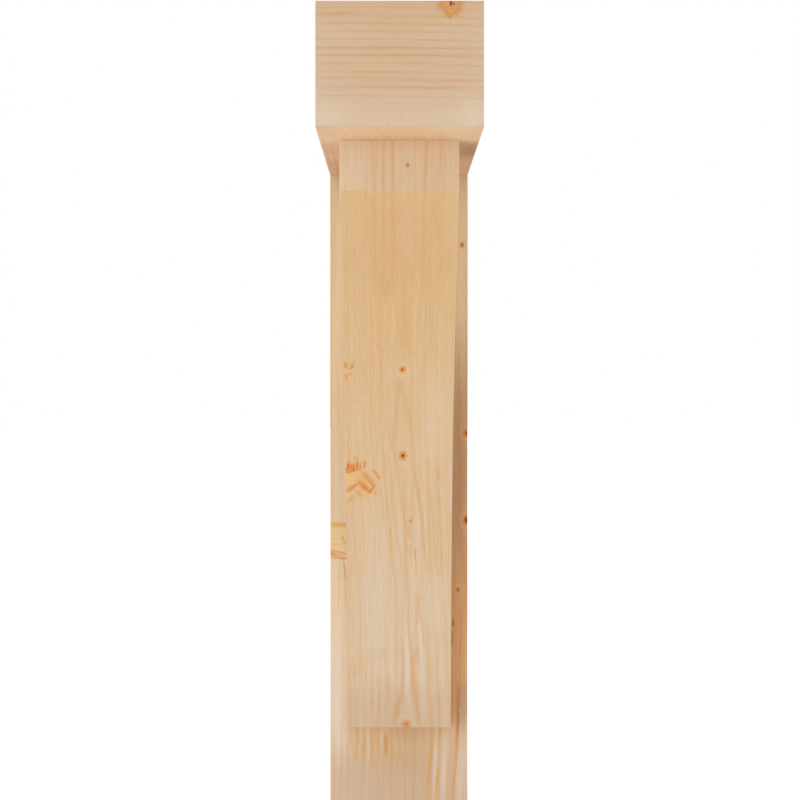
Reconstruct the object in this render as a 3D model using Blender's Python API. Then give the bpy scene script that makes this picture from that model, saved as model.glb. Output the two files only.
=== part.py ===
# Block bracket: a wall leg, a top arm on its head, and an arched brace in the corner between them.
#
# Metres, +Z up. The wall is the plane y = 0 and the bracket reaches from it towards -Y. The origin is
# in the middle of the back face, halfway up. Outlines are drawn from the side as pairs of
# (reach, height), where reach is the distance from the wall, and are carried across the width.

import math

import bmesh
import bpy
from mathutils import Vector

# Overall sizes
WIDTH = 0.1524
HEIGHT = 0.8128
REACH = 0.5080

# Leg and arm
LEG_THICK = 0.1143
ARM_THICK = 0.1143

# Brace: sawn to a constant depth between two arcs about one centre, with a plumb nose under the arm
# and a short level toe on the leg
BRACE_WIDTH = 0.1143
BRACE_DEPTH = 0.1143
NOSE_SETBACK = 0.0940
NOSE_HEIGHT = 0.0467
TOE_ABOVE_FOOT = 0.0900
TOE_LEDGE = 0.0160

# Workshop details
ARRIS = 0.0008
ARRIS_STEPS = 2
JOINT_GAP = 0.0003
ARC_STEPS = 44
SHARP_ANGLE = math.radians(30)

# Heights that follow from the sizes above
FOOT = -HEIGHT / 2
TOP = HEIGHT / 2
ARM_UNDERSIDE = TOP - ARM_THICK
NOSE_REACH = REACH - NOSE_SETBACK
NOSE_BOTTOM = ARM_UNDERSIDE - NOSE_HEIGHT
TOE_HEIGHT = FOOT + TOE_ABOVE_FOOT
TOE_REACH = LEG_THICK + TOE_LEDGE

# Planed softwood: colour, roughness
FINISHES = {
    "arm_wood": ((0.66, 0.46, 0.29), 0.55),
    "leg_wood": ((0.70, 0.49, 0.31), 0.55),
    "brace_wood": ((0.71, 0.48, 0.27), 0.55),
}


def clear_scene():
    for thing in list(bpy.data.objects):
        bpy.data.objects.remove(thing)


def wood(name):
    colour, roughness = FINISHES[name]
    material = bpy.data.materials.new(name)
    material.use_nodes = True
    shader = material.node_tree.nodes["Principled BSDF"]
    shader.inputs["Base Color"].default_value = (*colour, 1.0)
    shader.inputs["Roughness"].default_value = roughness
    shader.inputs["Metallic"].default_value = 0.0
    return material


def rectangle(low, high):
    # Corners of an upright rectangle, from its lowest and highest (reach, height).
    return [low, (high[0], low[1]), high, (low[0], high[1])]


def arc(centre, radius, start, end):
    # Points on a circle that lies beyond the bracket's corner. The angle is measured at the centre,
    # up from the level line that runs back to the wall.
    points = []
    for step in range(ARC_STEPS + 1):
        angle = start + (end - start) * step / ARC_STEPS
        reach = centre[0] - radius * math.cos(angle)
        height = centre[1] + radius * math.sin(angle)
        points.append((reach, height))
    return points


def brace_outline():
    # The lower arc leaves the toe plumb and ends at the foot of the nose, which fixes its radius.
    # The upper arc is a brace's depth outside it, and runs from the arm's underside to the leg's face.
    run = NOSE_REACH - TOE_REACH
    rise = NOSE_BOTTOM - TOE_HEIGHT
    lower_radius = (run**2 + rise**2) / (2 * run)
    upper_radius = lower_radius + BRACE_DEPTH
    centre = (TOE_REACH + lower_radius, TOE_HEIGHT)
    under_arm = ARM_UNDERSIDE - JOINT_GAP
    on_leg = LEG_THICK + JOINT_GAP

    nose_angle = math.asin(rise / lower_radius)
    head_angle = math.asin((under_arm - centre[1]) / upper_radius)
    heel_angle = math.acos((centre[0] - on_leg) / upper_radius)

    outline = arc(centre, lower_radius, 0.0, nose_angle)
    outline.append((NOSE_REACH, under_arm))
    outline += arc(centre, upper_radius, head_angle, heel_angle)
    outline.append((on_leg, TOE_HEIGHT))
    return outline


def timber(name, outline, width, material):
    # Carries a side outline across the width, centred on x = 0, and eases the arrises.
    base = outline[0]
    mesh = bpy.data.meshes.new(name)
    shape = bmesh.new()
    left_side = []
    for reach, height in outline:
        point = Vector((-width / 2, -(reach - base[0]), height - base[1]))
        left_side.append(shape.verts.new(point))
    face = shape.faces.new(left_side)
    swept = bmesh.ops.extrude_face_region(shape, geom=[face])
    right_side = [item for item in swept["geom"] if isinstance(item, bmesh.types.BMVert)]
    bmesh.ops.translate(shape, vec=(width, 0.0, 0.0), verts=right_side)
    bmesh.ops.recalc_face_normals(shape, faces=shape.faces)
    shape.to_mesh(mesh)
    shape.free()
    mesh.materials.append(material)
    mesh.shade_smooth()
    mesh.set_sharp_from_angle(angle=SHARP_ANGLE)

    piece = bpy.data.objects.new(name, mesh)
    piece.location = (0.0, -base[0], base[1])
    bpy.context.scene.collection.objects.link(piece)
    eased = piece.modifiers.new("eased arrises", "BEVEL")
    eased.width = ARRIS
    eased.segments = ARRIS_STEPS
    eased.limit_method = "ANGLE"
    eased.angle_limit = SHARP_ANGLE
    return piece


def main():
    clear_scene()
    leg = rectangle((0.0, FOOT), (LEG_THICK, ARM_UNDERSIDE - JOINT_GAP))
    arm = rectangle((0.0, ARM_UNDERSIDE), (REACH, TOP))
    timber("wall_leg", leg, WIDTH, wood("leg_wood"))
    timber("top_arm", arm, WIDTH, wood("arm_wood"))
    timber("curved_brace", brace_outline(), BRACE_WIDTH, wood("brace_wood"))


main()
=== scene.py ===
import math

import bmesh
import bpy
import numpy as np
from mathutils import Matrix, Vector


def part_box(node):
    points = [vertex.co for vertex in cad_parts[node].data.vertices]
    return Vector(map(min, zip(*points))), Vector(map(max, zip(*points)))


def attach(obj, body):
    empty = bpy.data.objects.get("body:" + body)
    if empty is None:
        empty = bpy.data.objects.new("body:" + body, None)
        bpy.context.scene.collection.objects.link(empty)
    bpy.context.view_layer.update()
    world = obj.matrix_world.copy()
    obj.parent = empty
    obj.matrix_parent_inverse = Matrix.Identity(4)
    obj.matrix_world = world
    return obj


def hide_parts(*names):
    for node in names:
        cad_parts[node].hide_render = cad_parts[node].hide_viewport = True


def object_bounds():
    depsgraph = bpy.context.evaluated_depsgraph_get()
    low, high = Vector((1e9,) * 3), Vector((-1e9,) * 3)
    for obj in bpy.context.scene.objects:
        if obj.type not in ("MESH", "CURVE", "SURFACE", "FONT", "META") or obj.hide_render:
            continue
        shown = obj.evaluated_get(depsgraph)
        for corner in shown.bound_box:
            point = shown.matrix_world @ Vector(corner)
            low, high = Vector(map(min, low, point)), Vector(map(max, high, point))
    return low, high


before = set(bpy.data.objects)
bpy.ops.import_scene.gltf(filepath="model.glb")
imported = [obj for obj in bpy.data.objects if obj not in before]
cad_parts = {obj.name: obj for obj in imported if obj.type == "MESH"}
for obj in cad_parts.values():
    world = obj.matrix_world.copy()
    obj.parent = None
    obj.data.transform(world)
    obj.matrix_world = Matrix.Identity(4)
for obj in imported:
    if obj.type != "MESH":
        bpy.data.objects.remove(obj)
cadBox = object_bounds()
print("frame loaded:", ", ".join(sorted(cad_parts)))

mm = 0.001
farAway = 1.0  # beyond the bracket on any side


def paint(red, green, blue):
    # A screen colour, 0 to 255, as the linear colour that the shaders use.
    levels = np.array([red, green, blue]) / 255
    linear = np.where(levels <= 0.04045, levels / 12.92, ((levels + 0.055) / 1.055) ** 2.4)
    return (*linear.tolist(), 1.0)


# Material recipes

class Wire:
    # A number on its way through a material. Sums on it add Math nodes.
    def __init__(self, recipe, socket):
        self.recipe = recipe
        self.socket = socket

    def __add__(self, other):
        return self.recipe.maths("ADD", self, other)

    def __radd__(self, other):
        return self.recipe.maths("ADD", other, self)

    def __sub__(self, other):
        return self.recipe.maths("SUBTRACT", self, other)

    def __rsub__(self, other):
        return self.recipe.maths("SUBTRACT", other, self)

    def __mul__(self, other):
        return self.recipe.maths("MULTIPLY", self, other)

    def __rmul__(self, other):
        return self.recipe.maths("MULTIPLY", other, self)

    def __truediv__(self, other):
        return self.recipe.maths("DIVIDE", self, other)

    def __rtruediv__(self, other):
        return self.recipe.maths("DIVIDE", other, self)


class Recipe:
    # The nodes of a material, or of the surround, added one by one.
    def __init__(self, name, world=None):
        self.material = world or bpy.data.materials.new(name)
        self.material.use_nodes = True
        self.tree = self.material.node_tree
        self.tree.nodes.clear()

    def node(self, kind, settings, inputs, output=0):
        made = self.tree.nodes.new(kind)
        for setting, value in settings.items():
            setattr(made, setting, value)
        for socket, value in inputs.items():
            if isinstance(value, Wire):
                self.tree.links.new(value.socket, made.inputs[socket])
            else:
                made.inputs[socket].default_value = value
        return Wire(self, made.outputs[output]) if made.outputs else made

    def maths(self, operation, *numbers):
        return self.node("ShaderNodeMath", {"operation": operation}, dict(enumerate(numbers)))

    def vectors(self, operation, *parts):
        return self.node("ShaderNodeVectorMath", {"operation": operation}, dict(enumerate(parts)))

    def mix(self, share, first, second, blend="MIX"):
        settings = {"data_type": "RGBA", "blend_type": blend}
        return self.node("ShaderNodeMix", settings, {0: share, 6: first, 7: second}, 2)

    def step(self, value, low, high):
        # 0 at low, 1 at high and a smooth step between; it falls where low is the larger one.
        inputs = {"Value": value, "From Min": low, "From Max": high}
        return self.node("ShaderNodeMapRange", {"interpolation_type": "SMOOTHSTEP"}, inputs)

    def mound(self, beside, above=0.0):
        # 1 where both are 0, fading to nothing about 2 away.
        squares = self.maths("MULTIPLY_ADD", beside, beside, above * above)
        return self.maths("POWER", math.exp(-1), squares)

    def noise(self, point, size, detail, roughness=0.5):
        # Soft noise from about -1 to 1, in lumps of that size along each axis.
        spread = self.vectors("DIVIDE", point, size)
        inputs = {"Vector": spread, "Scale": 1.0, "Detail": detail, "Roughness": roughness}
        return (self.node("ShaderNodeTexNoise", {}, inputs) - 0.5) * 2.6

    def farness(self, point, centre, size):
        # Distance from a centre, where the size along each axis counts as 1.
        inverse = [1 / length for length in size]
        back = [-place / length for place, length in zip(centre, size)]
        offset = self.vectors("MULTIPLY_ADD", point, inverse, back)
        return self.node("ShaderNodeVectorMath", {"operation": "LENGTH"}, {0: offset}, "Value")


def objectPlace(recipe):
    # The object's own x, reach from the wall and z, in millimetres.
    coordinates = recipe.node("ShaderNodeTexCoord", {}, {}, "Object")
    inMillimetres = recipe.vectors("MULTIPLY", coordinates, (1000.0, -1000.0, 1000.0))
    apart = {"Vector": inMillimetres}
    return [recipe.node("ShaderNodeSeparateXYZ", {}, apart, axis) for axis in "XYZ"]


def ringField(recipe, place, point, look):
    # Rings number the distance from the pith in ring widths. The pith sways along the timber and
    # dips once, the rings wander a little, and each knot parts them like an eye.
    across, behind, along = place
    aside = across
    for knot in look["knots"]:
        if knot["push"]:
            width, depth, height = knot["size"]
            beside = (across - knot["at"][0]) / (width * 1.6 + 3)
            above = (along - knot["at"][2]) / (height * 3 + 9)
            aside = aside - beside * recipe.mound(beside, above) * knot["push"]
    swing, length, start = look["sway"]
    sway = recipe.maths("SINE", (along - start) * (2 * math.pi / length)) * swing
    fromPith = aside - sway - along * look["lean"] - look["pithAcross"]
    behindPith = behind + look["pithBehind"]
    if look["dip"]:
        where, length, depth = look["dip"]
        behindPith = behindPith + recipe.mound((along - where) / length) * depth
    distance = recipe.maths("SQRT", fromPith * fromPith + behindPith * behindPith)
    distance = distance - fromPith * look["lopsided"]
    distance = distance + recipe.noise(point, look["wanderSize"], 3.0) * look["wander"]
    distance = distance + recipe.noise(point, look["waveSize"], 1.0) * look["wave"]
    rings = distance / look["ringWidth"]
    unevenness = recipe.noise(recipe.node("ShaderNodeCombineXYZ", {}, {"X": rings}), (1.7, 1, 1), 1.0)
    return rings + unevenness * look["uneven"]


def ringLines(recipe, rings, thin, spread):
    # Each ring darkens slowly towards its edge and ends sharply, and some rings are stronger.
    number = recipe.maths("FLOOR", rings)
    share = rings - number
    chance = recipe.node("ShaderNodeTexWhiteNoise", {"noise_dimensions": "1D"}, {"W": number})
    line = recipe.step(share, thin, 0.88) * recipe.step(share, 1.0, 0.92)
    return line * (chance * spread + (1 - spread))


def strokeCourse(recipe, place, wobble, ragged):
    # What a stroke needs to know of each point: its height, and the vector across, along, wobble.
    across, along = place[0], place[2]
    height = along + ragged
    parts = {"X": across, "Y": height, "Z": wobble + ragged}
    return height, recipe.node("ShaderNodeCombineXYZ", {}, parts)


def strokeMask(recipe, behind, course, inside, stroke, rough):
    # A soft stroke from one point to another, roughly along the grain and not far into the timber.
    # It may be barred across like planer marks. A rough one is fuller, with a steeper edge.
    height, route = course
    (x1, z1), (x2, z2) = stroke["start"], stroke["end"]
    lean = (x2 - x1) / (z2 - z1)
    middle = (z1 + z2) / 2
    half = abs(z2 - z1) / 2
    perWidth = (1 / stroke["width"], -lean / stroke["width"], 1.0)
    dot = {"operation": "DOT_PRODUCT"}
    beside = recipe.node("ShaderNodeVectorMath", dot, {0: route, 1: perWidth}, "Value")
    beside = beside + (lean * middle - (x1 + x2) / 2) / stroke["width"]
    above = recipe.maths("MULTIPLY_ADD", height, 1 / half, -middle / half)
    if rough:
        beside = beside * beside
    if stroke["behind"]:
        depth, spread = stroke["behind"]
        inside = recipe.mound((behind - depth) / spread)
    mask = recipe.mound(beside, above * above) * inside * stroke["share"]
    if stroke["bars"]:
        bars = recipe.maths("SINE", (height + beside * 0.8) * (2 * math.pi / stroke["bars"]))
        mask = mask * (bars * 0.45 + 0.55)
    return mask


def addKnot(recipe, colour, point, knot, look):
    # From outside in: a pale eye, the orange body with its darker rim, and the dark heart.
    width, depth, height = knot["size"]
    rough = recipe.noise(point, knot["grit"], 2.0, 0.7) * knot["ragged"]
    far = recipe.farness(point, knot["at"], knot["size"]) + rough
    eye = recipe.farness(point, knot["at"], (width * 1.9, depth, height * 2.6)) + rough * 0.5
    colour = recipe.mix(recipe.step(eye, 1.2, 0.5) * knot["halo"], colour, look["haloColour"])
    body = recipe.step(far, 1.3, 0.6) * knot["body"]
    colour = recipe.mix(body, colour, look["knotBody"])
    rim = recipe.mound((far - 0.85) / 0.3) * knot["rim"]
    colour = recipe.mix(rim, colour, look["knotRim"])
    core = recipe.step(far, 0.62 * knot["heart"], 0.2 * knot["heart"]) * knot["core"]
    return recipe.mix(core, colour, look["knotCore"]), body


def addBurl(recipe, colour, place, point, burl):
    # A branch sawn lengthwise: amber inside, with a broken outline in orange. The noise that breaks
    # it up is sheared, so that the pieces slant.
    across, behind, along = place
    jagged = recipe.noise(point, burl["jagSize"], 1.0) * burl["jag"]
    far = recipe.farness(point, burl["at"], burl["size"]) + jagged
    slanted = {"X": across - along * burl["slant"], "Y": behind, "Z": along}
    sheared = recipe.node("ShaderNodeCombineXYZ", {}, slanted)
    strokes = recipe.step(recipe.noise(sheared, burl["strokeSize"], 1.0), -0.5, 0.3)
    colour = recipe.mix(recipe.step(far, 1.05, 0.7) * burl["fill"], colour, burl["colour"])
    outline = recipe.mound((far - 0.92) / burl["thin"]) * strokes * burl["outline"]
    return recipe.mix(outline, colour, burl["line"]), outline


def curlyRipple(recipe, place, point, look):
    # Fine slanting ripples that come and go, as curly grain shows after planing. From 0 to 1.
    across, along = place[0], place[2]
    slant = across * 0.8 + along + recipe.noise(point, (11.0, 11.0, 22.0), 1.0) * 2.4
    here = recipe.step(recipe.noise(point, (18.0, 18.0, 44.0), 1.0), -0.2, 0.5)
    return recipe.maths("SINE", slant * (2 * math.pi / look["rippleLength"])) * here * 0.5 + 0.5


def timberMaterial(look, placeOf):
    # Softwood as a solid: pale early wood, tan late wood at each ring's edge, fibres, knots.
    recipe = Recipe(look["name"])
    *place, sawn = placeOf(recipe)
    across, behind, along = place
    point = recipe.node("ShaderNodeCombineXYZ", {}, {"X": across, "Y": behind, "Z": along})
    rings = ringField(recipe, place, point, look)
    patchy = recipe.noise(point, look["patchSize"], 1.0) * look["patchy"] + 0.8
    paleEnd = recipe.step(across, *look["paleEnd"]) * sawn
    patchy = patchy * (1 - paleEnd * look["endFade"])
    for x, width, z, length, change in look["zones"]:
        patchy = patchy * (recipe.mound((across - x) / width, (along - z) / length) * change + 1)
    late = ringLines(recipe, rings, look["lateFrom"], look["lateSpread"]) * patchy
    fineRings = rings * look["fineRings"] + 0.4
    fine = ringLines(recipe, fineRings, look["fineFrom"], look["fineSpread"]) * patchy

    bent = recipe.noise(point, look["curl"], 1.0)
    fibrePoint = recipe.vectors("ADD", point, recipe.vectors("MULTIPLY", bent, (0.7, 0.7, 0.0)))
    fibre = recipe.noise(fibrePoint, look["fibre"], 2.0, 0.6)
    strand = recipe.noise(fibrePoint, look["strand"], 2.0, 0.6) * (1 - paleEnd * look["endFade"])
    drift = recipe.noise(point, look["drift"], 2.0)
    mottle = recipe.noise(point, look["mottleSize"], 2.0)

    colour = recipe.mix(recipe.step(along, *look["blushAlong"]), look["pale"], look["blush"])
    colour = recipe.mix(recipe.step(drift, -0.7, 0.9) * look["warmth"], colour, look["warm"])
    colour = recipe.mix(paleEnd * look["endShare"], colour, look["endColour"])
    colour = recipe.mix(late * look["lateShare"], colour, look["late"])
    colour = recipe.mix(fine * look["fineShare"], colour, look["late"])
    colour = recipe.mix(recipe.step(strand, -0.2, 1.1) * look["strandShare"], colour, look["late"])
    colour = recipe.mix(recipe.step(strand, -0.2, -1.1) * look["strandShare"], colour, look["shine"])
    colour = recipe.mix(recipe.step(fibre, 0.0, 1.2) * look["fibreShare"], colour, look["fleck"])
    colour = recipe.mix(recipe.step(fibre, 0.1, -1.2) * look["fibreShare"], colour, look["shine"])

    colour = recipe.mix(recipe.step(mottle, 0.0, 1.0) * look["mottle"], colour, look["rose"])
    colour = recipe.mix(recipe.step(mottle, 0.0, -1.0) * look["mottle"], colour, look["honey"])

    wobble = strand * 0.4
    inside = recipe.mound(behind / look["streakDepth"])
    aside = recipe.noise(point, look["strokeBends"], 1.0) * look["strokeBend"]
    swaying = [across + aside, behind, along]
    course = strokeCourse(recipe, swaying, wobble, 0.0)
    for stroke in look["streaks"]:
        mask = strokeMask(recipe, behind, course, inside, stroke, rough=False)
        colour = recipe.mix(mask, colour, stroke["colour"])
    pores = recipe.noise(point, look["pores"], 1.0) * (1 - sawn * 0.6)
    colour = recipe.mix(recipe.step(pores, 0.0, 0.8) * look["poreShare"], colour, look["late"])
    colour = recipe.mix(recipe.step(pores, 0.0, -0.8) * look["poreShare"], colour, look["shine"])
    ripple = curlyRipple(recipe, place, point, look)
    colour = recipe.mix(ripple * look["ripple"], colour, look["shine"])
    knotty = 0.0
    for burl in look["burls"]:
        colour, resin = addBurl(recipe, colour, place, point, burl)
        knotty = recipe.maths("MAXIMUM", knotty, resin)
    ragged = recipe.noise(point, look["ragSize"], 1.0) * look["rag"]
    broken = recipe.step(recipe.noise(point, look["breakSize"], 1.0), -1.2, 0.1)
    course = strokeCourse(recipe, swaying, wobble, ragged)
    for stroke in look["marks"]:
        mask = strokeMask(recipe, behind, course, inside, stroke, rough=True) * broken
        colour = recipe.mix(mask, colour, stroke["colour"])
    for knot in look["knots"]:
        colour, resin = addKnot(recipe, colour, point, knot, look)
        knotty = recipe.maths("MAXIMUM", knotty, resin)
    nearSides = []  # the wood is paler where two faces meet: partly wear, partly a painted highlight along the arrises
    for offset, (middle, half) in zip((across, behind), look["section"]):
        fromMiddle = recipe.maths("ABSOLUTE", offset - middle)
        nearSides.append(recipe.step(fromMiddle, half - 1.5, half - 0.4))
    arris = nearSides[0] * nearSides[1]
    colour = recipe.mix(arris * look["edgeWearAndHighlight"], colour, look["shine"])

    roughness = look["roughness"] - late * 0.08 + fibre * 0.03 - knotty * 0.08
    height = fibre * 0.25 + late * 0.5 + knotty * 0.6
    bump = {"Strength": look["relief"], "Distance": look["reliefDepth"], "Height": height}
    normal = recipe.node("ShaderNodeBump", {}, bump)
    surface = {"Base Color": colour, "Roughness": roughness, "Normal": normal}
    surface["Specular IOR Level"] = look["gloss"]
    shader = recipe.node("ShaderNodeBsdfPrincipled", {}, surface)
    recipe.node("ShaderNodeOutputMaterial", {}, {"Surface": shader})
    return recipe.material


def knot(at, size, **different):
    # A branch cut across: where its middle is and its half sizes, across, behind and along.
    made = {"at": at, "size": size, "push": 5.0, "halo": 0.25, "body": 0.85, "rim": 0.35, "core": 0.95}
    made.update({"heart": 1.0, "ragged": 0.22, "grit": (1.6, 3.0, 2.4)})
    made.update(different)
    return made


def burl(at, size, **different):
    # A resin mark: its middle, its half sizes, and how full, jagged and slanting it is.
    made = {"at": at, "size": size, "fill": 0.5, "outline": 1.0, "thin": 0.22}
    made.update({"jag": 0.3, "jagSize": (5.0, 9.0, 7.0), "strokeSize": (1.8, 7.0, 9.0), "slant": 0.3})
    made.update({"colour": paint(228, 180, 106), "line": paint(214, 124, 38)})
    made.update(different)
    return made


def streak(start, end, width, share, colour, bars=0.0, behind=None):
    # A stroke from start to end, each given across and along, with its half width. Behind is the
    # depth where it is strongest and how far it spreads from there.
    return {"start": start, "end": end, "width": width, "share": share, "colour": paint(*colour),
            "bars": bars, "behind": behind}


softwood = {
    "blush": paint(217, 199, 171),
    "late": paint(208, 150, 75),
    "fleck": paint(208, 157, 86),
    "shine": paint(225, 203, 182),
    "rose": paint(222, 177, 148),
    "honey": paint(214, 179, 116),
    "haloColour": paint(222, 192, 146),
    "knotBody": paint(220, 148, 74),
    "knotRim": paint(206, 122, 50),
    "knotCore": paint(138, 52, 8),
    # paler arrises: wear together with a painted highlight
    "edgeWearAndHighlight": 0.15,
    "patchy": 0.4,
    "endFade": 0.0,
    "zones": [],
    "mottle": 0.5,
    "mottleSize": (4.0, 4.0, 9.0),
    "ripple": 0.18,
    "rippleLength": 2.5,
    "relief": 0.35,
    "reliefDepth": 0.15 * mm,
    "roughness": 0.6,
    "gloss": 0.12,
    "lateSpread": 0.6,  # how much the rings differ in strength
    "fineRings": 3.0,  # fine lines to each ring
    "fineFrom": 0.3,
    "fineSpread": 0.9,
    "lean": 0.0,
    "lopsided": 0.0,
    "dip": None,
    "curl": (9.0, 9.0, 14.0),
    "streakDepth": 22.0,
    "pores": (0.9, 2.0, 16.0),
    "poreShare": 0.22,
    "strokeBend": 0.9,
    "strokeBends": (20.0, 20.0, 50.0),
    "rag": 0.6,
    "ragSize": (2.2, 4.0, 3.0),
    "breakSize": (1.3, 4.0, 1.9),
    "burls": [],
    "marks": [],
    "arrisSteps": 3,
    "throughSteps": 28,
}


# Timber shapes

def straightRun(start, end, steps):
    # Evenly spaced points from start to end.
    share = np.linspace(0, 1, steps + 1)[:, None]
    return np.array(start) * (1 - share) + np.array(end) * share


def arcRun(centre, radius, fromAngle, toAngle, steps):
    # Points on a circle in front of the brace, with the angle measured up from the level line that
    # runs back from its centre to the wall.
    angle = np.linspace(fromAngle, toAngle, steps + 1)
    return np.stack([centre[0] - radius * np.cos(angle), centre[1] + radius * np.sin(angle)], axis=1)


def onward(*runs):
    # Runs laid end to end, with each shared point once.
    return np.concatenate([run[:-1] for run in runs[:-1]] + [runs[-1]])


def sharedSteps(total, lengths):
    # A number of steps shared out between runs by their lengths.
    fewest = 4
    first = max(fewest, round(total * lengths[0] / sum(lengths)))
    return first, total - first


def patchBetween(front, back, foot, head):
    # Coons patch: the blend of front and back, plus the blend of foot and head, less the blend of
    # the four corners. Front and back run upwards, foot and head run from front to back.
    up = np.linspace(0, 1, len(front))[:, None, None]
    over = np.linspace(0, 1, len(foot))[None, :, None]
    sides = (1 - over) * front[:, None] + over * back[:, None]
    ends = (1 - up) * foot[None] + up * head[None]
    corners = (1 - up) * ((1 - over) * front[0] + over * back[0])
    corners = corners + up * ((1 - over) * front[-1] + over * back[-1])
    return sides + ends - corners


def gridFaces(rows, columns, first):
    # Four corners of each square of a grid whose points are numbered row by row from first.
    corner = first + np.arange(rows - 1)[:, None] * columns + np.arange(columns - 1)[None, :]
    return np.stack([corner, corner + 1, corner + columns + 1, corner + columns], axis=-1).reshape(-1, 4)


def easeArrises(piece, look, joints):
    # Only free arrises are eased. Those in a joint, beyond its height or its reach, stay crisp.
    sharpAngle, margin = math.radians(30), 0.4 * mm
    mesh = piece.data
    mesh.set_sharp_from_angle(angle=sharpAngle)
    sharp = np.empty(len(mesh.edges), bool)
    mesh.attributes["sharp_edge"].data.foreach_get("value", sharp)
    ends = np.empty(len(mesh.edges) * 2, np.int32)
    mesh.edges.foreach_get("vertices", ends)
    place = np.empty(len(mesh.vertices) * 3, np.float32)
    mesh.vertices.foreach_get("co", place)
    middle = place.reshape(-1, 3)[ends].reshape(-1, 2, 3).mean(axis=1)
    highest, nearest = joints
    free = (middle[:, 2] < highest - margin) & (-middle[:, 1] > nearest + margin)
    weights = mesh.attributes.new("bevel_weight_edge", "FLOAT", "EDGE")
    weights.data.foreach_set("value", (sharp & free).astype(np.float32))
    eased = piece.modifiers.new("eased arrises", "BEVEL")
    eased.width = look["arris"]
    eased.segments = look["arrisSteps"]
    eased.limit_method = "WEIGHT"
    eased.harden_normals = True


def timberPiece(name, node, front, back, foot, head, width, material, look, joints):
    # The outline is carried across the width as one band, and a patch closes each side.
    outline = onward(front, head, back[::-1], foot[::-1])
    across = np.linspace(-width / 2, width / 2, look["acrossSteps"] + 1)
    band = np.empty((len(outline), len(across), 3))
    band[..., 0] = across[None, :]
    band[..., 1] = -outline[:, None, 0]
    band[..., 2] = outline[:, None, 1]
    side = patchBetween(front, back, foot, head)
    sheets = [band]
    for x in (-width / 2, width / 2):
        sheets.append(np.stack([np.full(side.shape[:2], x), -side[..., 0], side[..., 1]], axis=-1))
    points = np.concatenate([sheet.reshape(-1, 3) for sheet in sheets])
    counts = [sheet.shape[0] * sheet.shape[1] for sheet in sheets]
    firsts = np.concatenate([[0], np.cumsum(counts)[:-1]])
    faces = np.concatenate([gridFaces(*sheet.shape[:2], first) for sheet, first in zip(sheets, firsts)])

    mesh = bpy.data.meshes.new(name)
    mesh.from_pydata(points.tolist(), [], faces.tolist())
    shape = bmesh.new()
    shape.from_mesh(mesh)
    bmesh.ops.remove_doubles(shape, verts=shape.verts, dist=0.01 * mm)
    bmesh.ops.recalc_face_normals(shape, faces=shape.faces)
    shape.to_mesh(mesh)
    shape.free()
    mesh.materials.append(material)
    mesh.shade_smooth()
    planeByHand(mesh, look["planing"])

    piece = bpy.data.objects.new(name, mesh)
    bpy.context.scene.collection.objects.link(piece)
    easeArrises(piece, look, joints)
    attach(piece, "root")
    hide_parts(node)
    print(name, "made with", len(mesh.polygons), "faces")


def planeByHand(mesh, depth):
    # Each point goes in along its normal by up to the depth, in long waves that cross at an angle,
    # so that neither the faces nor the arrises are dead straight.
    place = np.empty(len(mesh.vertices) * 3, np.float32)
    mesh.vertices.foreach_get("co", place)
    normal = np.empty_like(place)
    mesh.vertices.foreach_get("normal", normal)
    place = place.reshape(-1, 3).astype(float)
    x, y, z = place.T
    wave = np.sin(31 * z + 17 * x + 5 * y) * np.sin(23 * y - 11 * z + 13 * x + 1.3)
    wave = wave + 0.5 * np.sin(71 * x + 47 * z - 29 * y + 0.4)
    inward = depth * (0.5 - wave / 3)
    place = place - normal.reshape(-1, 3) * inward[:, None]
    mesh.vertices.foreach_set("co", place.astype(np.float32).ravel())
    mesh.update()


# Wall leg

legLow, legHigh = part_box("wall_leg")
legFace = -legLow.y  # reach of its front face

gold = (210, 149, 64)
sideStrip = (0.0, 9.0)  # a stroke beside the brace is strongest in the face and spreads 9 mm in

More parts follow.
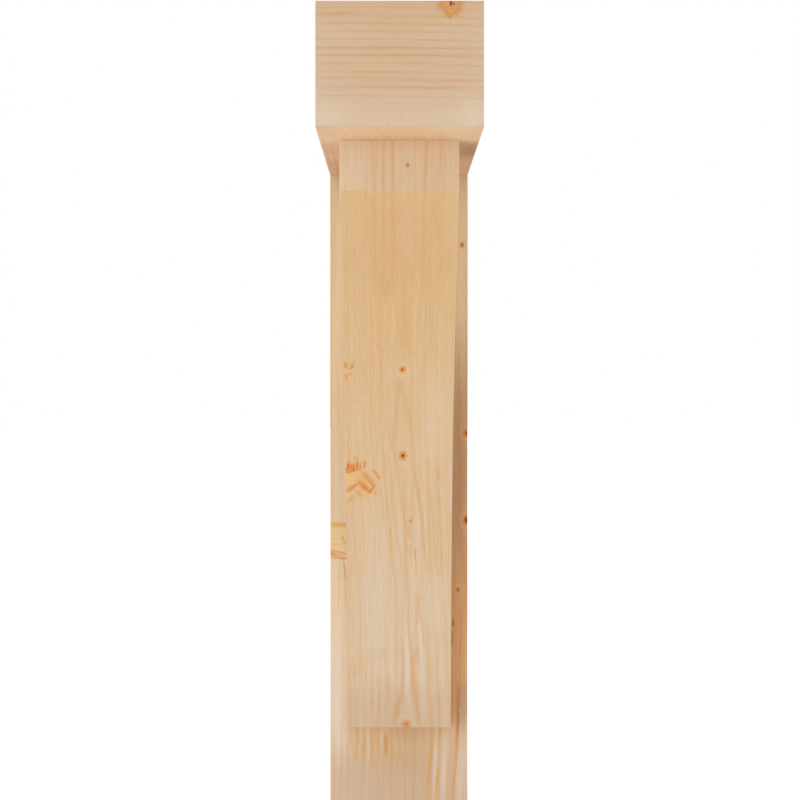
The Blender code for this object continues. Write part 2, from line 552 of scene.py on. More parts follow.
legLook = {
    **softwood,
    "name": "leg_wood",
    "section": ((0.0, 76.2), (57.15, 57.15)),  # middle and half size, across and behind the face
    "gap": -0.05 * mm,  # to the arm; below 0 it goes in
    "arris": 0.35 * mm,
    "planing": 0.12 * mm,
    "acrossSteps": 38,
    "alongSteps": 172,
    "pale": paint(221, 198, 168),
    "blush": paint(213, 186, 156),
    "warm": paint(216, 182, 138),
    "late": paint(208, 150, 86),
    "endColour": paint(205, 170, 128),
    "paleEnd": (900.0, 800.0),  # all of it
    "endShare": 0.5,
    "sway": (3.0, 900.0, -480.0),
    "pithAcross": 9.0,
    "lopsided": 0.07,
    "pithBehind": 5.0,
    "ringWidth": 8.2,
    "uneven": 0.2,
    "wander": 1.4,
    "wanderSize": (50.0, 60.0, 240.0),
    "wave": 0.4,
    "waveSize": (14.0, 14.0, 60.0),
    "patchSize": (18.0, 30.0, 90.0),
    "lateFrom": 0.45,
    "lateShare": 0.75,
    "fineShare": 0.4,
    "strand": (1.9, 3.0, 150.0),
    "strandShare": 0.4,
    "fibre": (0.8, 0.8, 40.0),
    "fibreShare": 0.4,
    "drift": (26.0, 40.0, 420.0),
    "warmth": 0.7,
    "blushAlong": (-200.0, -350.0),
    "zones": [(-25.0, 40.0, -392.0, 26.0, -0.5)],
    "streaks": [
        # Painted shade below the brace's toe.
        streak((12, -318), (12, -374), 26, 0.6, (200, 155, 106)),
        streak((0, -345), (0, -445), 100, 0.45, (184, 149, 120)),
        streak((-52, -366), (-52, -430), 24, 0.35, (206, 174, 156)),
        # Beside the brace on the left: paler, less warm strokes that are painted light, making up for
        # the shade of the arm above and the warm light bounced off the brace.
        streak((-67, 290), (-67, 70), 13, 0.85, (255, 222, 174), behind=sideStrip),
        streak((-67, 70), (-67, -250), 13, 0.55, (224, 206, 173), behind=sideStrip),
        streak((-67, -125), (-67, -330), 13, 0.4, (242, 220, 190), behind=sideStrip),
        streak((-74, 290), (-74, -20), 0.9, 0.26, (224, 168, 66), behind=sideStrip),
        streak((-70.7, 290), (-70.7, 40), 0.8, 0.24, (224, 168, 66), behind=sideStrip),
        streak((-72.4, 260), (-72.4, 0), 0.9, 0.3, (234, 206, 188), behind=sideStrip),
        streak((-52.5, -318), (-52, -345), 1.6, 0.45, gold),
        streak((-46, -318), (-45.5, -341), 1.8, 0.75, gold),
        streak((-47.5, -338), (-47, -358), 1.8, 0.6, gold),
        streak((-41.5, -318), (-41.5, -348), 1.2, 0.35, gold),
        streak((-37.5, -324), (-37.5, -356), 1.9, 0.65, gold),
        streak((-29.5, -318), (-29, -360), 1.8, 0.75, gold),
        streak((-25.5, -318), (-25.5, -340), 1.2, 0.35, gold),
        streak((-22, -316), (-22, -358), 1.8, 0.5, gold),
        streak((-14.5, -327), (-14.5, -350), 2.1, 0.9, (204, 122, 40)),
        streak((-14.5, -330), (-15, -372), 1.1, 0.6, gold),
        streak((-7.5, -330), (-7.5, -364), 1.8, 0.45, gold),
        streak((0, -334), (0, -358), 1.8, 0.4, gold),
        # Painted shade right under the brace's toe.
        streak((8, -317), (8, -334), 20, 0.35, (198, 148, 98)),
        streak((37.5, -321), (30.5, -404), 2, 0.75, gold),
        streak((45.5, -316), (42, -344), 2, 0.8, gold),
        streak((44, -364), (39.5, -404), 2.1, 0.85, gold),
        streak((60, -322), (58.5, -366), 5, 0.5, (206, 150, 80), bars=3.6),
        streak((58.5, -360), (53.5, -410), 5, 0.5, (206, 150, 80), bars=4.1),
        streak((65.2, -306), (64.2, -356), 1.5, 0.8, (204, 134, 66)),
        streak((64, -350), (58.5, -404), 1.6, 0.7, (204, 134, 66)),
        streak((-41.9, -314), (-41.5, -340), 1.7, 0.25, (228, 210, 188)),
        streak((-33.2, -318), (-33, -360), 1.7, 0.25, (228, 210, 188)),
        streak((-18, -314), (-18.4, -346), 1.5, 0.25, (228, 210, 188)),
        streak((42.3, -318), (38.5, -404), 1.7, 0.5, (224, 206, 186)),
        streak((52.5, -326), (48.5, -404), 2.8, 0.5, (224, 206, 186)),
        streak((72, -330), (68, -404), 5, 0.5, (222, 200, 180)),
        streak((-72, -210), (-68, -350), 8, 0.6, (226, 211, 194)),
        # Beside the brace on the right: painted light under the arm, then painted shadow of the brace,
        # over darker, warmer wood, down to the toe.
        streak((67, 290), (67, 85), 13, 0.9, (255, 226, 179), behind=sideStrip),
        streak((67, 130), (67, 70), 13, 0.12, (208, 150, 92), behind=sideStrip),
        streak((67, 70), (67, -165), 12, 0.75, (182, 129, 78), behind=sideStrip),
        streak((67, -140), (67, -300), 12, 0.8, (207, 144, 82), behind=sideStrip),
        streak((70, -268), (70, -318), 9, 0.6, (172, 130, 98), behind=sideStrip),
        streak((58.5, -250), (58.5, -318), 2.6, 0.7, (226, 148, 74), behind=sideStrip),
        streak((67, -100), (67, -210), 10, 0.16, (220, 160, 96), behind=sideStrip, bars=3.4),
        streak((69, -190), (67, -280), 1.6, 0.5, (200, 126, 60), behind=sideStrip),
        streak((75, -95), (75, -220), 1.6, 0.6, (214, 132, 54), behind=(0, 3)),
        streak((-60.9, -134), (-59.3, -156), 0.9, 0.65, (172, 112, 64)),
        streak((-59.4, -152), (-58.6, -192), 1.4, 0.4, gold),
        streak((-65.5, -136), (-67, -190), 1.2, 0.4, (206, 156, 100)),
        streak((-67, -92.6), (-67, -98.4), 18, 0.9, (213, 157, 56)),
    ],
    "knots": [
        knot((69.9, 0.0, 215.0), (2.4, 9.0, 2.6), core=0.4, halo=0.15),
        knot((75.4, 0.0, 6.8), (4.5, 10.0, 5.0), halo=0.3, body=1.0, core=1.0),
        knot((75.4, 0.0, -89.6), (4.5, 12.0, 6.0), halo=0.3, body=1.0, core=1.0, heart=1.3),
        knot((65.5, 0.0, -167.1), (2.8, 10.0, 3.2), core=0.7, halo=0.2),
    ],
    "burls": [
        burl((-92.0, 10.0, -112.0), (90.0, 60.0, 20.5), jag=0.06, jagSize=(6.0, 9.0, 5.0),
             strokeSize=(9.0, 9.0, 2.0), slant=0.0, thin=0.13, fill=0.6, outline=0.3,
             colour=paint(228, 196, 136), line=paint(208, 140, 66)),
    ],
    "marks": [
        streak((-80, -121.5), (-58, -127.5), 5, 0.6, (214, 136, 62)),
        streak((-77.5, -124.5), (-70.5, -128.5), 5, 0.9, (214, 140, 70)),
        streak((-74, -128.5), (-62, -131.5), 6, 0.4, (210, 140, 80)),
        streak((-66, -131.2), (-58, -133.2), 8, 0.9, (214, 122, 36)),
        streak((-62.4, -107), (-62.2, -112), 1.3, 0.6, (196, 130, 60)),
        streak((-60.4, -112.5), (-59.8, -115.5), 1.6, 0.55, (196, 136, 60)),
        streak((-80, -110.5), (-58, -111.8), 13, 0.35, gold),
        streak((-80, -115.5), (-58, -117), 13, 0.35, gold),
        streak((59.9, -199), (59.9, -208), 1.4, 0.8, (184, 92, 26), behind=sideStrip),
        streak((59.3, -212), (59.1, -230), 1.2, 0.7, (200, 108, 36), behind=sideStrip),
        streak((66.6, -272), (65.2, -330), 1.7, 0.7, (186, 110, 48), behind=sideStrip),
    ],
}


def legPlace(recipe):
    x, reach, z = objectPlace(recipe)
    fromMiddle = recipe.maths("ABSOLUTE", z - (legLow.z + legHigh.z) / 2 / mm)
    half = (legHigh.z - legLow.z) / 2 / mm
    return x, legFace / mm - reach, z, recipe.step(fromMiddle, half - 1.0, half - 0.2)


def makeLeg():
    foot, head = legLow.z, armLow.z - legLook["gap"]
    up, through = legLook["alongSteps"], legLook["throughSteps"]
    front = straightRun((legFace, foot), (legFace, head), up)
    back = straightRun((0.0, foot), (0.0, head), up)
    footRun = straightRun((legFace, foot), (0.0, foot), through)
    headRun = straightRun((legFace, head), (0.0, head), through)
    width = legHigh.x - legLow.x
    timberPiece("leg_timber", "wall_leg", front, back, footRun, headRun, width,
                timberMaterial(legLook, legPlace), legLook, (head, -farAway))


# Top arm

armLow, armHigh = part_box("top_arm")


def underStroke(reaches, middle, halfWidth, *rest, thickness=4.0):
    # A stroke along the arm's underside, between two distances from the wall.
    nearest, farthest = reaches
    return streak((0.0, nearest), (0.0, farthest), thickness, *rest, behind=(middle, halfWidth))


armLook = {
    **softwood,
    "name": "arm_wood",
    "section": ((57.15, 57.15), (0.0, 76.2)),
    "arris": 0.35 * mm,
    "planing": 0.12 * mm,
    "acrossSteps": 38,
    "alongSteps": 124,
    "pale": paint(213, 183, 151),
    "warm": paint(213, 173, 130),
    "late": paint(206, 150, 92),
    "endColour": paint(220, 194, 166),
    "paleEnd": (44.0, 8.0),
    "endShare": 0.85,
    "endFade": 0.75,
    "sway": (1.0, 700.0, 0.0),
    "pithAcross": -3000.0,  # so far off that the rings run nearly straight and level
    "pithBehind": 50.0,
    "ringWidth": 7.2,
    "uneven": 0.45,
    "wander": 0.7,
    "wanderSize": (30.0, 90.0, 300.0),
    "wave": 0.3,
    "waveSize": (8.0, 35.0, 60.0),
    "patchSize": (9.0, 45.0, 90.0),
    "patchy": 0.7,
    "lateFrom": 0.62,
    "lateShare": 0.75,
    "fineShare": 0.3,
    "strand": (1.8, 60.0, 120.0),
    "strandShare": 0.3,
    "fibre": (0.8, 1.6, 40.0),
    "fibreShare": 0.3,
    "drift": (30.0, 60.0, 300.0),
    "warmth": 0.5,
    "blushAlong": (1000.0, 1200.0),  # beyond its end, so it has none
    "streakDepth": 400.0,
    "pores": (3.0, 1.3, 60.0),
    "poreShare": 0.36,
    "streaks": [
        underStroke((60, 360), -60, 1.3, 0.64, (190, 124, 62)),
        underStroke((60, 340), -63, 1.1, 0.48, (238, 206, 160)),
        underStroke((60, 380), -66, 1, 0.56, (196, 130, 68)),
        underStroke((120, 420), -69.5, 1.1, 0.48, (238, 206, 160)),
        underStroke((180, 440), -72, 1.1, 0.56, (196, 130, 68)),
        underStroke((180, 400), 64.5, 0.9, 0.56, (214, 178, 146)),
        underStroke((240, 420), 69, 1.2, 0.56, (214, 178, 146)),
        underStroke((60, 420), 73, 1.2, 0.56, (176, 118, 66)),
        underStroke((60, 300), 61, 1.2, 0.48, (196, 132, 66)),
        streak((112, 200), (112, 800), 16, 0.35, (208, 164, 114)),
        streak((71.3, 0), (71.3, 800), 1.1, 0.4, (200, 146, 96)),
        streak((65, 0), (65, 800), 1.1, 0.45, (200, 146, 96)),
        streak((41.6, 0), (41.6, 800), 1.2, 0.45, (206, 148, 90), behind=(35, 55)),
        streak((36.1, 0), (36.1, 800), 1.2, 0.45, (206, 148, 90), behind=(30, 50)),
        streak((102.9, 0), (102.9, 800), 1.3, 0.6, (208, 146, 84), behind=(-56, 24)),
        streak((10, 300), (10, 800), 11, 0.36, (228, 208, 186), behind=(-66, 16)),
        streak((10, 300), (10, 800), 15, 0.45, (226, 206, 182), behind=(66, 14)),
        streak((0, 120), (0, 440), 4, 0.65, (200, 146, 90)),
        streak((0, 440), (0, 560), 1.2, 0.5, (218, 174, 116)),
        # Painted shadow on the underside beside the nose, darker on the right.
        underStroke((282, 394), 74, 14, 0.76, (150, 102, 68), thickness=6),
        underStroke((300, 400), -74, 12, 0.4, (160, 122, 88), thickness=6),
        underStroke((60, 260), -68, 14, 0.38, (200, 136, 62)),
        underStroke((430, 560), -78, 22, 0.75, (202, 150, 98), thickness=1.2),
        underStroke((430, 560), 80, 18, 0.62, (206, 152, 104), thickness=1.2),
        streak((57, 300), (57, 800), 60, 0.07, (194, 140, 84), behind=(0, 42)),
        streak((57, 300), (57, 800), 60, 0.16, (228, 206, 180), behind=(-82, 16)),
        streak((57, 300), (57, 800), 60, 0.12, (230, 208, 180), behind=(80, 18)),
        underStroke((60, 280), 68, 14, 0.4, (238, 196, 134)),
    ],
    "knots": [
        knot((112.5, 46.5, 505.0), (12.0, 10.0, 30.0), grit=(8.0, 1.7, 8.0), ragged=0.5, push=0.0,
             body=0.6, rim=0.55, heart=0.45),
    ],
}


def armPlace(recipe):
    x, reach, z = objectPlace(recipe)
    half = -armLow.y / 2 / mm
    fromMiddle = recipe.maths("ABSOLUTE", reach - half)
    return z - armLow.z / mm, x, reach, recipe.step(fromMiddle, half - 1.0, half - 0.2)


def makeArm():
    underside, top = armLow.z, armHigh.z
    reach = -armLow.y
    high, along = armLook["throughSteps"], armLook["alongSteps"]
    front = straightRun((reach, underside), (reach, top), high)
    back = straightRun((0.0, underside), (0.0, top), high)
    foot = straightRun((reach, underside), (0.0, underside), along)
    head = straightRun((reach, top), (0.0, top), along)
    width = armHigh.x - armLow.x
    timberPiece("arm_timber", "top_arm", front, back, foot, head, width,
                timberMaterial(armLook, armPlace), armLook, (farAway, -farAway))


# Curved brace

braceLow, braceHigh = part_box("curved_brace")

braceLook = {
    **softwood,
    "name": "brace_wood",
    "pale": paint(210, 171, 113),
    "warm": paint(215, 165, 100),
    "fleck": paint(188, 146, 92),
    "blush": paint(218, 200, 174),
    # The nose's end grain; part of its paleness is painted light against the shade under the arm.
    "endColour": paint(243, 225, 199),
    "mottle": 0.6,
    "depth": 114.3 * mm,  # between the arcs
    "toeLedge": 16.0 * mm,  # how far the toe stands out from the leg
    "noseHeight": 46.7 * mm,
    "gap": -0.05 * mm,  # to the arm and the leg
    "section": ((0.0, 57.15), (57.15, 57.15)),
    "arris": 0.25 * mm,
    "planing": 0.12 * mm,
    "acrossSteps": 29,
    "alongSteps": 176,
    "noseBlend": 8.0,  # mm over which the grain turns from the concave face to the nose
    "sway": (5.0, 700.0, 545.0),
    "lean": -0.02,
    "pithAcross": 17.0,
    "pithBehind": 3.0,
    "dip": (150.0, 90.0, 9.0),
    "ringWidth": 8.8,
    "uneven": 0.4,
    "paleEnd": (330.0, -60.0),
    "endShare": 0.67,
    "endFade": 0.65,
    "wander": 1.3,
    "wanderSize": (40.0, 60.0, 200.0),
    "wave": 0.4,
    "waveSize": (12.0, 14.0, 50.0),
    "patchSize": (16.0, 30.0, 90.0),
    "lateFrom": 0.35,
    "lateShare": 0.55,
    "fineShare": 0.45,
    "strand": (1.6, 3.0, 130.0),
    "strandShare": 0.8,
    "fibre": (0.8, 0.8, 36.0),
    "fibreShare": 0.7,
    "ripple": 0.32,
    "drift": (22.0, 40.0, 300.0),
    "warmth": 0.7,
    "blushAlong": (560.0, 60.0),
}

toeReach = legFace + braceLook["toeLedge"]
toeHeight = braceLow.z
noseReach = -braceLow.y
noseFoot = armLow.z - braceLook["noseHeight"]
run, rise = noseReach - toeReach, noseFoot - toeHeight
lowerRadius = (run**2 + rise**2) / (2 * run)  # leaves the toe plumb and ends at the nose's foot
upperRadius = lowerRadius + braceLook["depth"]
arcCentre = (toeReach + lowerRadius, toeHeight)


def alongArc(height):
    # How far up the concave face or the nose a height is, in millimetres of arc from the toe.
    up = height * mm - arcCentre[1]
    if height * mm > noseFoot:
        return lowerRadius / mm * math.atan2(up, arcCentre[0] - noseReach)
    return lowerRadius / mm * math.asin(up / lowerRadius)


braceLook["zones"] = [
    (-32.0, 24.0, alongArc(-190.0), 100.0, -0.85),
    (-30.0, 24.0, alongArc(20.0), 60.0, -0.5),
    (40.0, 14.0, alongArc(30.0), 50.0, -0.5),
    (0.0, 70.0, alongArc(272.0), 24.0, -0.25),
]
braceLook["knots"] = [
    knot((7.7, 0.0, alongArc(268.9)), (1.6, 60.0, 1.2), push=2.0, core=0.1, rim=0.7, halo=0.15),
    knot((3.5, 0.0, alongArc(75.8)), (3.6, 60.0, 4.1), push=8.0, core=0.7, halo=0.15, ragged=0.35),
    knot((4.2, 0.0, alongArc(-15.4)), (4.2, 60.0, 5.6), push=9.0, halo=0.15, ragged=0.35),
    knot((12.5, 0.0, alongArc(-86.9)), (1.5, 60.0, 2.2), push=0.0, core=0.2, halo=0.1),
    knot((7.9, 0.0, alongArc(-313.0)), (5.2, 60.0, 5.2), push=3.0, core=0.4, body=0.6, ragged=0.7),
    knot((-57.2, 9.0, alongArc(-42.0)), (3.0, 6.5, 8.0), push=0.0),
    knot((-57.2, 6.0, alongArc(76.0)), (2.0, 4.5, 5.0), push=0.0, core=0.5),
]
braceLook["burls"] = [
    burl((-58.0, 2.0, alongArc(-41.0)), (17.0, 12.0, 10.0), fill=0.4, outline=0.25),
]


def braceStreak(start, end, *rest, **different):
    # The points are given by their height on the bracket.
    (x1, z1), (x2, z2) = start, end
    return streak((x1, alongArc(z1)), (x2, alongArc(z2)), *rest, **different)


def skinMark(start, end, *rest):
    # A broken stroke that goes no more than a few millimetres into the brace.
    return braceStreak(start, end, *rest, behind=(0.0, 4.0))


tan = (208, 149, 75)
honeyed = (222, 158, 62)
paleTan = (222, 206, 188)
orange = (218, 110, 6)
amber = (214, 140, 50)

braceLook["streaks"] = [
    braceStreak((-23.4, 256), (-24.2, 150), 2, 0.65, tan),
    braceStreak((-16, 256), (-15.6, 152), 2, 0.65, tan),
    braceStreak((-6.2, 256), (-6.4, 150), 2.2, 0.75, tan),
    braceStreak((24.2, 256), (24, 150), 2.2, 0.65, tan),
    braceStreak((35.4, 256), (36, 200), 2.2, 0.45, tan),
    braceStreak((-27, 305), (-25.5, 255), 1.5, 0.3, honeyed),
    braceStreak((-21.5, 305), (-21, 258), 1.3, 0.3, honeyed),
    braceStreak((-15, 305), (-15.4, 255), 1.2, 0.3, honeyed),
    braceStreak((-6.6, 305), (-6.2, 255), 1.8, 0.45, honeyed),
    braceStreak((26.5, 305), (24.8, 255), 1.7, 0.45, honeyed),
    braceStreak((39.5, 305), (37.6, 255), 1.3, 0.35, honeyed),
    braceStreak((-24, 250), (-24.2, 175), 1.5, 0.3, honeyed),
    braceStreak((-15.9, 250), (-15.6, 165), 1.5, 0.35, honeyed),
    braceStreak((-6.3, 250), (-6.4, 150), 1.7, 0.4, honeyed),
    braceStreak((24.2, 250), (24, 165), 1.6, 0.35, honeyed),
    braceStreak((31, 250), (31.5, 190), 1.2, 0.3, honeyed),
    braceStreak((0, 262), (0, 150), 60, 0.32, (196, 146, 94)),
    braceStreak((31.5, 180), (32.5, 92), 2.4, 0.45, (204, 155, 84)),
    braceStreak((40.5, 245), (42.5, 115), 2.2, 0.25, tan),
    braceStreak((-32, 260), (-32.5, 195), 2, 0.3, tan),
    braceStreak((-20, 175), (-21.5, 90), 2.4, 0.3, tan),
    braceStreak((-12.3, 168), (-12.3, 144), 4.5, 0.4, (202, 140, 76)),
    braceStreak((6, 192), (4.5, 96), 3.6, 0.45, tan),
    braceStreak((5, 140), (4, 84), 8, 0.35, tan),
    braceStreak((1, 66), (0.8, 50), 3.6, 0.55, (204, 146, 90)),
    braceStreak((0.5, 65), (-6.5, -1), 2, 0.5, tan),
    braceStreak((2.5, 60), (15.5, 3), 2, 0.5, tan),
    braceStreak((-8.5, 3), (-1, -31), 1.6, 0.35, tan),
    braceStreak((12.5, 6), (16, -36), 1.6, 0.35, tan),
    braceStreak((16.5, -30), (24.6, -86), 2, 0.65, tan),
    braceStreak((23.8, -78), (28, -124), 1.8, 0.6, tan),
    braceStreak((27.2, -112), (31.5, -150), 1.6, 0.35, tan),
    braceStreak((32.1, -46), (37.9, -101), 1.3, 0.4, tan),
    braceStreak((37.4, -96), (41.1, -145), 1.2, 0.3, tan),
    braceStreak((41.7, -42), (44.2, -80), 1.2, 0.35, tan),
    braceStreak((3.5, -30), (8, -140), 1.5, 0.45, tan),
    braceStreak((8, -130), (11, -190), 1.4, 0.45, tan),
    braceStreak((10, -190), (13.5, -238), 1.8, 0.55, tan),
    braceStreak((13.6, -232), (16.4, -278), 2, 0.65, tan),
    braceStreak((16.2, -270), (23.5, -318), 2.3, 0.7, tan),
    braceStreak((2.5, -218), (5, -246), 1.5, 0.4, tan),
    braceStreak((5, -232), (4.5, -286), 1.6, 0.55, tan),
    braceStreak((2, -279), (-5, -312), 3.6, 0.75, (203, 146, 82)),
    braceStreak((21, -168), (21, -190), 2.8, 0.55, tan),
    braceStreak((20, -189), (19, -206), 1.4, 0.6, (212, 138, 78)),
    braceStreak((22.4, -184), (28.6, -232), 1.5, 0.55, tan),
    braceStreak((38.5, -244), (41.5, -280), 1.3, 0.3, tan),
    braceStreak((41, -276), (46.3, -314), 1.4, 0.35, tan),
    braceStreak((31, -245), (32, -278), 1.5, 0.4, tan),
    braceStreak((32.4, -268), (36.6, -318), 2, 0.55, tan),
    braceStreak((-11.5, -259), (-11.5, -287), 2.2, 0.45, tan),
    braceStreak((-22, -258), (-22, -312), 2.2, 0.35, tan),
    braceStreak((-30.5, -272), (-30.5, -312), 2.2, 0.3, tan),
    braceStreak((18, -258), (20.5, -300), 2, 0.45, tan, bars=3.2),
    braceStreak((-56, -262), (-34, -240), 11, 0.22, tan),
    braceStreak((-38, -242), (-1, -228), 24, 0.16, tan),
    braceStreak((-22.5, -35), (-14, -98), 1.4, 0.3, tan),
    braceStreak((-16, -31), (-6.5, -131), 1.4, 0.3, tan),
    braceStreak((-8.5, -27), (-2, -131), 1.3, 0.3, tan),
    braceStreak((7, -188), (8.8, -290), 2.4, 0.45, paleTan),
    braceStreak((10, -275), (16.5, -316), 2.8, 0.45, paleTan),
    braceStreak((22.9, -198), (25, -250), 2.4, 0.65, paleTan),
    braceStreak((25.2, -246), (29.6, -316), 3.4, 0.65, paleTan),
    braceStreak((37, -205), (37.5, -300), 4, 0.3, paleTan),
    braceStreak((35, 70), (38, -30), 16, 0.25, (220, 200, 172)),
    braceStreak((40, -145), (40, -215), 14, 0.45, (220, 202, 176)),
    braceStreak((17.4, -117), (17.9, -130), 1, 0.75, (204, 122, 50)),
    braceStreak((18.2, -130), (19.2, -148), 1, 0.45, (204, 134, 66)),
    braceStreak((30.4, -18), (31.6, -35), 1.6, 0.6, (214, 150, 76)),
    braceStreak((37.5, -18), (41.5, -33), 1.8, 0.4, (216, 150, 88)),
    braceStreak((41.2, -30), (42, -41), 1.8, 0.75, (222, 142, 70)),
    braceStreak((-40, -12), (-40, -68), 18, 0.25, (224, 166, 80)),
    braceStreak((0, 298), (0, 282), 70, 0.17, (238, 166, 76)),
    braceStreak((0, -270), (0, -346), 80, 0.42, (186, 148, 104)),
]
braceLook["marks"] = [
    skinMark((-51, -32), (-51, -50), 9, 0.55, (226, 183, 126)),
    skinMark((-37, -34), (-35, -60), 9, 0.22, (228, 152, 52)),
    skinMark((-56, -33.5), (-53.5, -22), 1.6, 1, orange),
    skinMark((-52.3, -32.5), (-51, -24), 1.2, 0.9, orange),
    skinMark((-49.2, -32), (-48.3, -24), 1.6, 1, orange),
    skinMark((-45.4, -31), (-44.2, -20.5), 1.3, 1, orange),
    skinMark((-42, -31), (-41.2, -23), 1.1, 0.8, orange),
    skinMark((-37, -29), (-36, -21), 1.4, 0.9, (212, 124, 30)),
    skinMark((-57, -34.5), (-43, -29.5), 3.4, 0.8, orange),
    skinMark((-47.5, -23), (-46.5, -15), 1.6, 0.5, amber),
    skinMark((-40, -32), (-29, -45), 3.6, 0.7, (212, 142, 70)),
    skinMark((-33, -42), (-27, -49), 1.7, 0.75, orange),
    skinMark((-26.5, -47), (-32, -56), 2, 0.8, orange),
    skinMark((-36.5, -49), (-31.5, -55.5), 1.7, 0.7, orange),
    skinMark((-43, -43), (-35, -54), 3, 0.7, orange),
    skinMark((-38.5, -43), (-32, -52), 1.6, 0.7, amber),
    skinMark((-45, -45.5), (-56.5, -55), 3.6, 0.65, orange),
    skinMark((-46, -53), (-40.5, -60), 2.4, 0.6, amber),
    skinMark((-50, -59), (-56, -68), 2.8, 0.45, amber),
    skinMark((-28, -31), (-23.5, -35.5), 2, 0.8, (214, 128, 52)),
    skinMark((-24.5, -35.5), (-20.5, -41), 1.8, 0.75, (214, 128, 52)),
    skinMark((-27, -53.5), (-24.5, -59), 1.5, 0.6, amber),
    skinMark((-56.8, 83), (-54.5, 77), 2.6, 0.9, (220, 134, 36)),
    skinMark((-51.5, 76), (-47, 79.5), 1.6, 0.85, (220, 126, 32)),
    skinMark((-48.5, 78), (-47.5, 84), 1.3, 0.7, amber),
    skinMark((-55.5, 64), (-54.5, 71), 2, 0.6, amber),
    skinMark((-52.5, 72.5), (-48, 69), 1.8, 0.6, amber),
]


def bracePlace(recipe):
    # The grain follows the sweep of the arch: depth behind the concave face or the nose, and arc
    # length from the toe.
    x, reach, z = objectPlace(recipe)
    back = arcCentre[0] / mm - reach
    up = z - arcCentre[1] / mm
    radius = recipe.maths("SQRT", back * back + up * up)
    angle = recipe.maths("ARCTAN2", up, back)
    nose = recipe.step(reach, noseReach / mm - 1.5, noseReach / mm - 0.5)
    nose = nose * recipe.step(z, noseFoot / mm - 0.3, noseFoot / mm + 0.3)
    fromArc = radius - lowerRadius / mm
    fromNose = noseReach / mm - reach
    behind = recipe.maths("SMOOTH_MIN", fromArc, fromNose, braceLook["noseBlend"])
    return x, behind, angle * (lowerRadius / mm), nose


def makeBrace():
    underArm = armLow.z - braceLook["gap"]
    onLeg = legFace + braceLook["gap"]
    noseAngle = math.asin(rise / lowerRadius)
    headAngle = math.asin((underArm - arcCentre[1]) / upperRadius)
    heelAngle = math.acos((arcCentre[0] - onLeg) / upperRadius)
    heelTop = arcCentre[1] + upperRadius * math.sin(heelAngle)

    along, through = braceLook["alongSteps"], braceLook["throughSteps"]
    arcSteps, noseSteps = sharedSteps(along, (lowerRadius * noseAngle, underArm - noseFoot))
    front = onward(arcRun(arcCentre, lowerRadius, 0.0, noseAngle, arcSteps),
                   straightRun((noseReach, noseFoot), (noseReach, underArm), noseSteps))
    backLengths = (heelTop - toeHeight, upperRadius * (headAngle - heelAngle))
    heelSteps, backSteps = sharedSteps(along, backLengths)
    back = onward(straightRun((onLeg, toeHeight), (onLeg, heelTop), heelSteps),
                  arcRun(arcCentre, upperRadius, heelAngle, headAngle, backSteps))
    foot = straightRun(front[0], back[0], through)
    head = straightRun(front[-1], back[-1], through)
    width = braceHigh.x - braceLow.x
    timberPiece("brace_timber", "curved_brace", front, back, foot, head, width,
                timberMaterial(braceLook, bracePlace), braceLook, (underArm, onLeg))


# Studio

studio = {
    "surround": 1.2,
    "leftLight": (0.90, 0.97, 1.04),
    "rightLight": (0.58, 0.54, 0.50),
    "farLeft": 0.48,  # light from square on to the left, as a share of the light from the front left
    "below": 1.28,  # light from below, as a share of the light from above
    "keyPower": 13.0,
    "keyPlace": (-2.1, -0.4, 0.1),
    "keySize": 0.8,
    "floorGlow": 0.72,
    "floorColour": paint(245, 245, 245),
    "floorHalf": 20.0,
}

white = (1.0, 1.0, 1.0, 1.0)


def makeSurround():
    # White all round for the camera. As light it is warmer and dimmer from the right.
    world = bpy.data.worlds.new("studio")
    bpy.context.scene.world = world
    recipe = Recipe("studio", world)
    direction = {"Vector": recipe.node("ShaderNodeTexCoord", {}, {}, "Generated")}
    fromRight = recipe.node("ShaderNodeSeparateXYZ", {}, direction, "X")
    fromAbove = recipe.node("ShaderNodeSeparateXYZ", {}, direction, "Z")
    left, right = (*studio["leftLight"], 1.0), (*studio["rightLight"], 1.0)
    colour = recipe.mix(recipe.step(fromRight, -0.4, 0.7), left, right)
    strength = recipe.step(fromAbove, 0.3, -0.6) * (studio["below"] - 1) + 1
    strength = strength * (recipe.step(fromRight, -0.5, -0.95) * (studio["farLeft"] - 1) + 1)
    shining = {"Color": colour, "Strength": strength * studio["surround"]}
    light = recipe.node("ShaderNodeBackground", {}, shining)
    seen = recipe.node("ShaderNodeBackground", {}, {"Color": white})
    byCamera = recipe.node("ShaderNodeLightPath", {}, {}, "Is Camera Ray")
    either = recipe.node("ShaderNodeMixShader", {}, {0: byCamera, 1: light, 2: seen})
    recipe.node("ShaderNodeOutputWorld", {}, {"Surface": either})


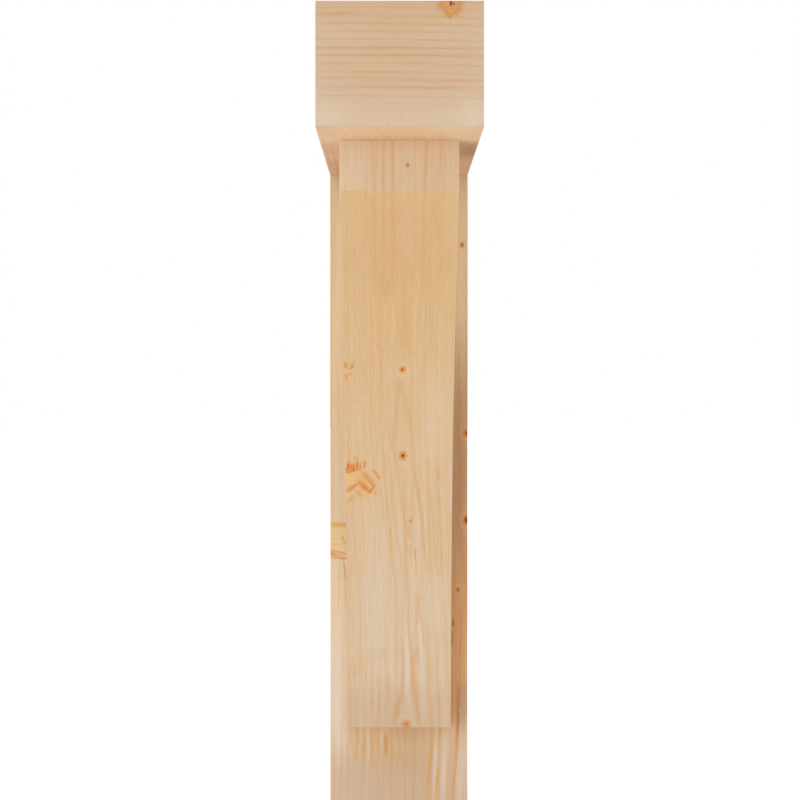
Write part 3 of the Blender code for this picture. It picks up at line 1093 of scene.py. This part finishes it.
def makeKey():
    lamp = bpy.data.lights.new("key", "AREA")
    lamp.shape = "SQUARE"
    lamp.size = studio["keySize"]
    lamp.energy = studio["keyPower"]
    key = bpy.data.objects.new("key", lamp)
    bpy.context.scene.collection.objects.link(key)
    key.location = studio["keyPlace"]
    middle = (cadBox[0] + cadBox[1]) / 2
    key.rotation_euler = (middle - key.location).to_track_quat("-Z", "Y").to_euler()


def makeFloor():
    recipe = Recipe("floor_paint")
    surface = recipe.node("ShaderNodeBsdfDiffuse", {}, {"Color": studio["floorColour"]})
    glow = recipe.node("ShaderNodeEmission", {}, {"Color": white, "Strength": studio["floorGlow"]})
    both = recipe.node("ShaderNodeAddShader", {}, {0: surface, 1: glow})
    recipe.node("ShaderNodeOutputMaterial", {}, {"Surface": both})
    mesh = bpy.data.meshes.new("floor")
    half, level = studio["floorHalf"], cadBox[0].z
    corners = [(-half, -half, level), (half, -half, level), (half, half, level), (-half, half, level)]
    mesh.from_pydata(corners, [], [(0, 1, 2, 3)])
    mesh.materials.append(recipe.material)
    floor = bpy.data.objects.new("floor", mesh)
    bpy.context.scene.collection.objects.link(floor)
    floor.visible_diffuse = False  # the surround gives the light from below
    floor.visible_glossy = False
    floor.visible_shadow = False


viewpoint = {
    "sensor": 36.0,
    "lens": 86.3,
    "shift": (0.00575, -0.015875),
    "place": (-0.00384, -2.2388, 0.0574),
}


def makeCamera():
    # Level and square on to the bracket, a little above its middle.
    lens = bpy.data.cameras.new("camera")
    lens.sensor_width = viewpoint["sensor"]
    lens.lens = viewpoint["lens"]
    lens.shift_x, lens.shift_y = viewpoint["shift"]
    camera = bpy.data.objects.new("camera", lens)
    bpy.context.scene.collection.objects.link(camera)
    camera.location = viewpoint["place"]
    camera.rotation_euler = (math.radians(90), 0.0, 0.0)
    bpy.context.scene.camera = camera


makeLeg()
makeArm()
makeBrace()
makeSurround()
makeKey()
makeFloor()
makeCamera()
bpy.context.scene.view_settings.view_transform = "Standard"
print("studio set up")

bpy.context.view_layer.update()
